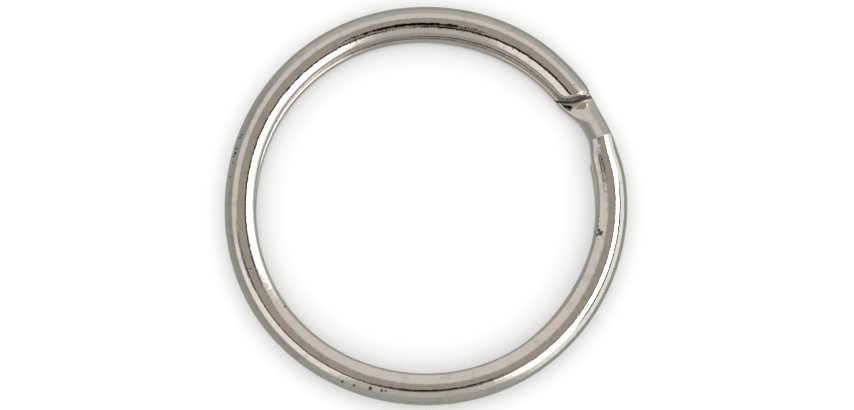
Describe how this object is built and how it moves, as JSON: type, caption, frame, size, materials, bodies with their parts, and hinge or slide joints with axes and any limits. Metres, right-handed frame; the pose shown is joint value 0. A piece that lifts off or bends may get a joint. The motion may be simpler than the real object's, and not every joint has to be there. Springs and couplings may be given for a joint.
{
  "type": "split ring",
  "caption": "Two-turn split ring of half-round spring wire, with the turns lying flat to flat and a short jog between them.",
  "frame": {"origin": "middle of the ring, on the plane that its lower crown touches", "axes": "+Z along the ring's axis, +X towards the right of the jog, which stands 23.75 degrees counter-clockwise from +X"},
  "size_m": [0.03, 0.03, 0.0022],
  "materials": {
    "nickel_plate": "bright nickel plating over spring steel, with small pits"
  },
  "bodies": {
    "root": {"split_ring": "nickel_plate"}
  },
  "joints": []
}
